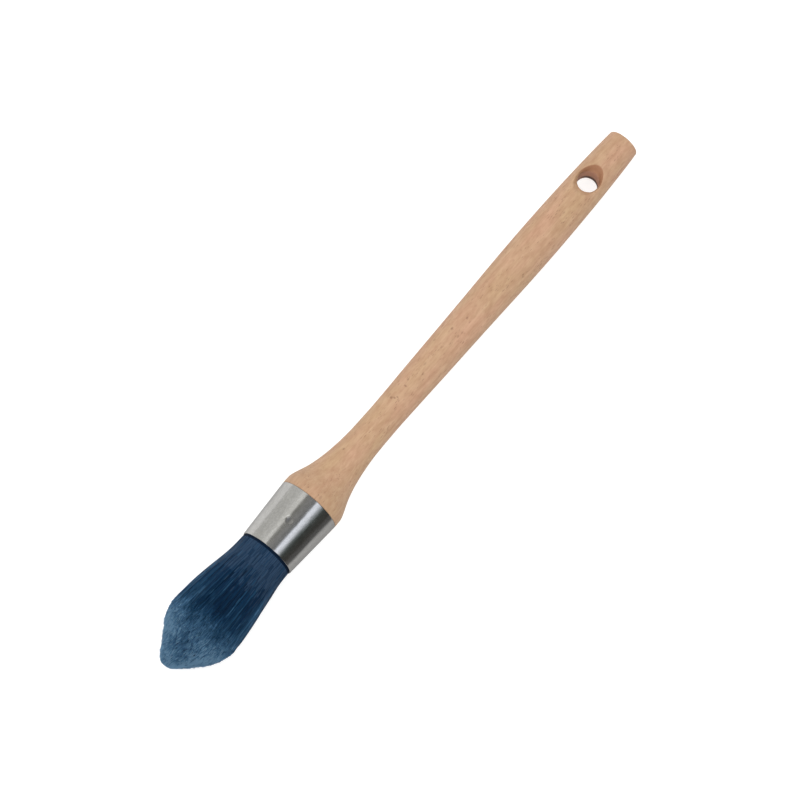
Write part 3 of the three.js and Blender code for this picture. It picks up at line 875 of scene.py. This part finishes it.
# Tones: one blue fibre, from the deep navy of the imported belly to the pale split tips; the last two are the greyer
# blue near the ferrule.
TONES = [
    srgb(2, 25, 48),
    srgb(3, 35, 63),
    srgb(9, 46, 75),
    srgb(26, 63, 93),
    srgb(46, 82, 112),
    srgb(62, 99, 131),
    srgb(79, 117, 149),
    srgb(108, 145, 174),
    srgb(30, 53, 78),
    srgb(45, 68, 94),
]
PLAIN = 8
tone_materials = [flat_material(f"filament_tone_{i}", c, 0.55, 0.14) for i, c in enumerate(TONES)]


def pick_tone(level, rng):
    """level: float tone index, dithered to a whole one."""
    return np.clip(np.floor(level + rng.uniform(0, 1, level.shape)), 0, PLAIN - 1).astype(int)


def tufts(count, rng):
    """Centres of the clumps that the tips gather in, spread over the trimmed cone: (u, angle)."""
    us = np.linspace(0.2, 23.0, 900)
    rs = bundle_r(us)
    cdf = np.cumsum(rs * np.sqrt(1 + np.gradient(rs, us) ** 2))
    cdf /= cdf[-1]
    u = np.interp((np.arange(count) + 0.5) / count, cdf, us) + rng.normal(0, 0.35, count)
    a = (np.arange(count) * 2.399963229728653 + rng.normal(0, 0.05, count)) % (2 * np.pi)
    return np.clip(u, 0.1, 24.0), a


def on_outline(u, a):
    r = bundle_r(u)
    return np.stack([u, r * np.sin(a), r * np.cos(a)], -1)


tuft_rng = np.random.default_rng(71)
TUFT_U, TUFT_A = tufts(900, tuft_rng)
TUFT_P = on_outline(TUFT_U, TUFT_A)
TUFT_OFF = tuft_rng.normal(0, 1, len(TUFT_U))
TUFT_TONE = tuft_rng.normal(0, 1, len(TUFT_U))
TUFT_SWAY = tuft_rng.normal(0, 1, (len(TUFT_U), 2))


def tuft_of(u, a):
    p = on_outline(u, a)
    d = ((p[:, None, :] - TUFT_P[None]) ** 2 * np.array([0.45, 1, 1])).sum(-1)
    return d.argmin(1)


def long_filaments():
    """Outer layers of the bundle, from inside the ferrule to the belly, where they end on the trimmed cone."""
    rng = np.random.default_rng(11)
    layers = [(0.995, 470), (0.972, 430), (0.945, 360), (0.91, 260)]
    n = sum(c for _, c in layers)
    q = np.concatenate([np.full(c, f) for f, c in layers]) + rng.normal(0, 0.006, n)
    q = np.minimum(q, 1.0)
    phi = np.concatenate([(np.arange(c) + rng.uniform(-0.45, 0.45, c)) * 2 * np.pi / c for _, c in layers])
    # end station: where the flow line meets the cone, plus stray
    us = np.linspace(0.4, 23.0, 400)
    fr = bundle_r(us) / flow(us)
    end = np.interp(q, np.maximum.accumulate(fr), us)
    tuft = tuft_of(end, phi)
    end = end + rng.normal(0, 0.4, n) + 0.45 * TUFT_OFF[tuft] + rng.uniform(-0.3, 1.6, n)
    k = 14
    t = np.linspace(0, 1, k)[None, :]
    t = 1 - (1 - t) ** 1.12
    start = MOUTH_U - 1.0
    u = start + (end[:, None] - start) * t
    inside = np.broadcast_to([MOUTH_U + 2.6, MOUTH_U + 0.35, MOUTH_U - 0.35], (n, 3))
    u = np.concatenate([inside, u], 1)
    t = np.concatenate([np.zeros((1, 3)), t], 1)
    turn = phi / (2 * np.pi)
    drift = value_noise(7, turn * 60, np.zeros(n) + 3.5, period_y=None) * 0.012 + rng.normal(0, 0.007, n)
    wave = value_noise(9, u / 9.0, (turn * 90)[:, None] + 0 * u, period_y=90) * 0.012
    ang = phi[:, None] + drift[:, None] * (MOUTH_U - u) / 12.0 + wave * smoothstep(MOUTH_U, 30, u)
    # locks: groups of neighbours stand a little higher or lower, with grooves between them
    lock = value_noise(13, u / 16.0, (turn * 34)[:, None] + 0 * u, period_y=34) * 0.26
    lock = lock + value_noise(14, u / 11.0, (turn * 80)[:, None] + 0 * u, period_y=80) * 0.14
    lift = (lock + rng.normal(0, 0.06, (n, 1))) * smoothstep(MOUTH_U, 42, u)
    r = q[:, None] * flow(u) + lift - 0.30 + 0.1 * smoothstep(34, 24, u)
    r = np.minimum(r, np.where(u > MOUTH_U - 0.1, ferrule_r(MOUTH_U) - WALL - 0.18, 99))
    r = np.where((u > MOUTH_U - 0.9) & (u < MOUTH_U - 0.1), np.minimum(r, ferrule_r(MOUTH_U) - 0.36), r)
    # the last few millimetres gather into tufts and stray a little
    tip = smoothstep(0.78, 1.0, t)
    r = r + tip * (rng.normal(0.0, 0.12, (n, 1)) + 0.12 * TUFT_SWAY[tuft, 0][:, None])
    gather = (TUFT_A[tuft] - phi + np.pi) % (2 * np.pi) - np.pi
    ang = ang + tip * (0.2 * gather[:, None] + 0.008 * TUFT_SWAY[tuft, 1][:, None] + rng.normal(0, 0.008, (n, 1)))
    centre = np.stack([u, r * np.sin(ang) + lean(u), r * np.cos(ang)], -1)
    rad = 0.205 * (1 - 0.5 * smoothstep(0.55, 1.0, t)) * rng.uniform(0.8, 1.2, (n, 1))
    um = (u[:, 1:] + u[:, :-1]) / 2
    streak = value_noise(21, um / 20.0, (turn * 48)[:, None] + 0 * um, period_y=48)
    fine = value_noise(22, um / 9.0, (turn * 150)[:, None] + 0 * um, period_y=150)
    level = (
        1.75
        + 0.8 * streak
        + 0.8 * fine
        + rng.normal(0, 0.5, (n, 1))
        + 0.6 * smoothstep(38, 50, um) - 0.3 * smoothstep(51, 54, um)
        # painted sheen in the next two terms: lighter on the +y side towards the cone, and towards the bundle's edges
        + 1.2 * smoothstep(0.2, 0.65, np.sin(phi))[:, None] * smoothstep(37, 25, um)
        + 1.3 * smoothstep(0.82, 0.98, np.abs(np.sin(phi)))[:, None] * smoothstep(50, 42, um)
        + (2.2 + 0.5 * TUFT_TONE[tuft][:, None]) * smoothstep(25.0, 13.0, um)
        + 1.3 * (rng.uniform(0, 1, um.shape) < 0.008)
    )
    slots = pick_tone(level, rng)
    # greyer towards the ferrule
    grey = rng.uniform(0, 1, um.shape) < smoothstep(34, 48, um) * 0.85
    slots = np.where(grey, PLAIN + (rng.uniform(0, 1, um.shape) < 0.62 + 0.3 * streak), slots)
    # in the shadow of the ferrule's edge
    slots = np.where(um > MOUTH_U - 0.8, 0, slots)
    return tubes("filaments_outer", centre, rad + 0 * u, 3, slots, 31)


def cone_filaments(name, seed, n, shift):
    """The ends of the inner filaments, all over the trimmed cone, loosely gathered in small tufts."""
    rng = np.random.default_rng(seed)
    us = np.concatenate([0.3 * np.linspace(0.004, 1, 60) ** 2, np.linspace(0.3, 20.5, 900)[1:]])
    rs = bundle_r(us)
    step = np.hypot(np.diff(us, prepend=0.0), np.diff(rs, prepend=0.0))
    cdf = np.cumsum(rs * step)
    cdf /= cdf[-1]
    x = (np.arange(n) + 0.5) / n
    u_end = np.interp(x, cdf, us)
    phi = (np.arange(n) * 2.399963229728653 + shift + rng.normal(0, 0.03, n)) % (2 * np.pi)
    tuft = tuft_of(u_end, phi)
    blunt = 0.22 + 0.78 * smoothstep(0.5, 6.5, u_end)  # the very point is trimmed more evenly
    u_tip = u_end + (0.24 * TUFT_OFF[tuft] + rng.normal(0, 0.24, n)) * blunt + 0.12
    u_tip = u_tip - rng.uniform(0.3, 0.9, n) * (rng.uniform(0, 1, n) < 0.03) * blunt
    u_tip = np.maximum(u_tip, 0.05)
    q = bundle_r(np.maximum(u_end, 1e-4)) / flow(u_end)
    k = 5
    back = rng.uniform(4.2, 6.0, n)
    t = np.linspace(0, 1, k)[None, :]
    u = u_tip[:, None] + back[:, None] * (1 - t)
    r = q[:, None] * flow(u)
    r = r - 0.42 * (1 - t) * smoothstep(8, 17, u_end)[:, None]
    p = np.stack([u, r * np.sin(phi)[:, None], r * np.cos(phi)[:, None]], -1)
    # tips draw together a little, and each tuft sways its own way
    aim = TUFT_P[tuft] - on_outline(u_end, phi)
    aim[:, 0] = 0
    a_dir = np.stack([0 * phi, np.cos(phi), -np.sin(phi)], -1)
    r_dir = np.stack([0 * phi, np.sin(phi), np.cos(phi)], -1)
    sway = 0.26 * TUFT_SWAY[tuft, 0][:, None] * a_dir + 0.06 * TUFT_SWAY[tuft, 1][:, None] * r_dir
    stray = rng.normal(0, 0.24, (n, 1)) * a_dir + rng.normal(-0.02, 0.13, (n, 1)) * r_dir
    pull = (0.24 * aim + sway + stray) * blunt[:, None]
    p = p + pull[:, None, :] * (t**1.7)[..., None]
    p[..., 1] += lean(u)
    rad = 0.18 * (1 - 0.5 * t**1.5) * rng.uniform(0.8, 1.2, (n, 1))
    tm = (t[:, 1:] + t[:, :-1]) / 2
    patch = value_noise(55, u_end / 3.6, phi / (2 * np.pi) * 16, period_y=16)
    level = (
        3.15
        + 2.3 * smoothstep(0.30, 0.92, tm) * (1 - 0.4 * smoothstep(12, 20, u_end)[:, None])
        + 0.55 * TUFT_TONE[tuft][:, None]
        + rng.normal(0, 0.7, (n, 1))
        + 0.6 * smoothstep(10, 0, u_end)[:, None]
        # painted sheen, lighter towards the bundle's edges
        + 0.6 * smoothstep(0.55, 0.9, np.abs(np.sin(phi)))[:, None] + 0.6 * smoothstep(0.8, 0.98, np.abs(np.sin(phi)))[:, None]
        + 0.4 * patch[:, None]
        # painted sheen, lighter on the +y side past u 8 and on the -y side near the point
        + 1.2 * (smoothstep(0.2, 0.7, np.sin(phi)) * smoothstep(8, 12, u_end))[:, None]
        + 0.8 * (smoothstep(0.35, 0.8, -np.sin(phi)) * smoothstep(18, 10, u_end))[:, None]
        + 0.7 * smoothstep(5, 1, u_end)[:, None]
        - 1.0 * smoothstep(11.5, 20.5, u_end)[:, None]
        - 0.5 * smoothstep(16.0, 24.0, (u[:, 1:] + u[:, :-1]) / 2)
    )
    return tubes(name, p, rad + 0 * u, 3, pick_tone(level, rng), 37)


def bundle_core():
    """What shows between the filaments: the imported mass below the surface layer."""
    steps = 160
    us = np.concatenate([np.linspace(0.75, BELLY_U, 60), np.linspace(BELLY_U, MOUTH_U + 3.0, 60)[1:]])
    a = 2 * np.pi * np.arange(steps) / steps
    rows = []
    for u in us:
        depth = 0.85 + 0.35 * smoothstep(22, 12, u)
        r = max(float(bundle_r(u)) - depth, 0.4)
        if u > MOUTH_U - 0.6:
            r = min(r, float(ferrule_r(MOUTH_U)) - WALL - 0.25)
        rr = r + 0.16 * value_noise(41, a / (2 * np.pi) * 60, np.full(steps, u / 7.0)) * (1 if u < 50 else 0.4)
        rows.append(np.stack([np.full(steps, u), rr * np.sin(a) + float(lean(u)), rr * np.cos(a)], -1))
    v = np.concatenate(rows + [np.array([[0.65, float(lean(0.65)), 0], [us[-1], 0, 0]])])
    f = grid_faces(len(rows), steps)
    j = np.arange(steps)
    c0 = len(rows) * steps
    last = (len(rows) - 1) * steps
    capa = np.stack([np.full(steps, c0), (j + 1) % steps, j], -1)
    capb = np.stack([np.full(steps, c0 + 1), last + j, last + (j + 1) % steps], -1)
    ob = mesh_object("filaments_core", v, [f, capa, capb])
    return ob


def core_material():
    m = Nodes("filament_mass")
    streak = m.noise(m.coords(scale=(45, 1700, 1700)), 1.0, 3.0, 0.6)
    col = m.ramp(streak, [(0.3, TONES[0]), (0.6, TONES[1]), (0.85, TONES[3])])
    m.link(col, m.bsdf.inputs["Base Color"])
    m.bsdf.inputs["Roughness"].default_value = 0.6
    m.bsdf.inputs["Specular IOR Level"].default_value = 0.3
    return m.mat


core = bundle_core()
core.data.materials.append(core_material())
outer = long_filaments()
cone = cone_filaments("filaments_cone", 23, 6400, 0.0)
cone_b = cone_filaments("filaments_cone_fill", 29, 6400, 1.1)
for ob in (outer, cone, cone_b):
    for tm in tone_materials:
        ob.data.materials.append(tm)
for ob in (core, outer):
    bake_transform(ob)
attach(cone, "filaments")
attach(cone_b, "filaments")
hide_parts("filament_neck")
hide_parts("filament_head")


# ------------------------------------------------------------------ hidden pieces keep their CAD shape
def grain_material(name, a, b, scale, rough):
    m = Nodes(name)
    f = m.noise(m.coords(scale=scale), 1.0, 3.0, 0.6)
    m.link(m.ramp(f, [(0.35, a), (0.7, b)]), m.bsdf.inputs["Base Color"])
    m.link(m.maprange(f, 0.3, 0.7, rough - 0.06, rough + 0.06), m.bsdf.inputs["Roughness"])
    return m.mat


def assign(node, material):
    ob = frame["nodes"][node]
    ob.data.materials.clear()
    ob.data.materials.append(material)


assign("setting_resin", grain_material("resin_amber", srgb(126, 108, 70), srgb(150, 132, 90), (300, 300, 300), 0.3))
assign("core_plug", grain_material("plug_wood", srgb(186, 148, 104), srgb(168, 128, 86), (80, 1500, 1500), 0.7))
assign("filament_roots", grain_material("root_fibres", TONES[1], TONES[2], (45, 1700, 1700), 0.55))
